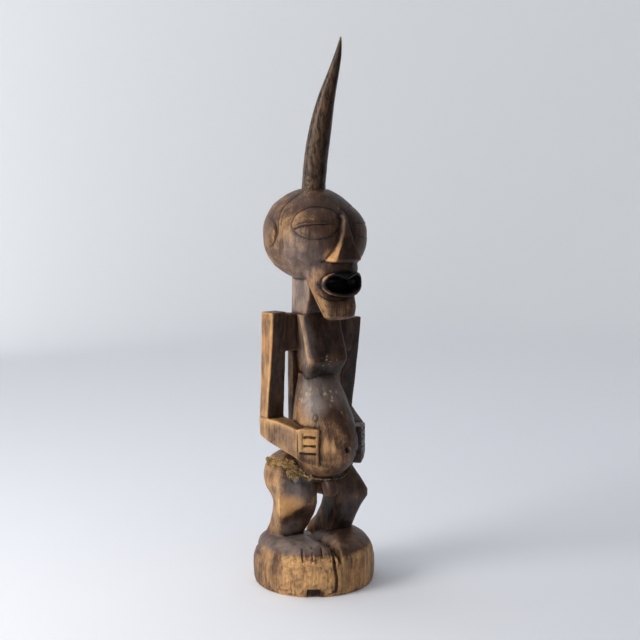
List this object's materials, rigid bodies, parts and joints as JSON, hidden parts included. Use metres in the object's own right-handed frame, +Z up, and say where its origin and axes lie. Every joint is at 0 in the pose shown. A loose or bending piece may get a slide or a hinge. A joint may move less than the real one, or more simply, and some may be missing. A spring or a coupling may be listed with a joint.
{
  "type": "songye power figure",
  "caption": "Carved wooden standing male figure with a full belly, hands on the belly, a round base, an animal horn set in the crown and a fibre cord round the hips.",
  "frame": {"origin": "centre of the underside of the round base, on the axis of the log", "axes": "+Z up through the figure; it faces -Y, so its right hand is towards -X"},
  "size_m": [0.1288, 0.1276, 0.5562],
  "materials": {
    "carved_wood": "dark handled hardwood, worn golden where it is rubbed, matt to satin",
    "horn": null,
    "plant_fibre": "twisted plant fibre, frayed, matt"
  },
  "bodies": {
    "root": {"figure": "carved_wood", "horn": "horn", "waist_cord": "plant_fibre"}
  },
  "joints": []
}
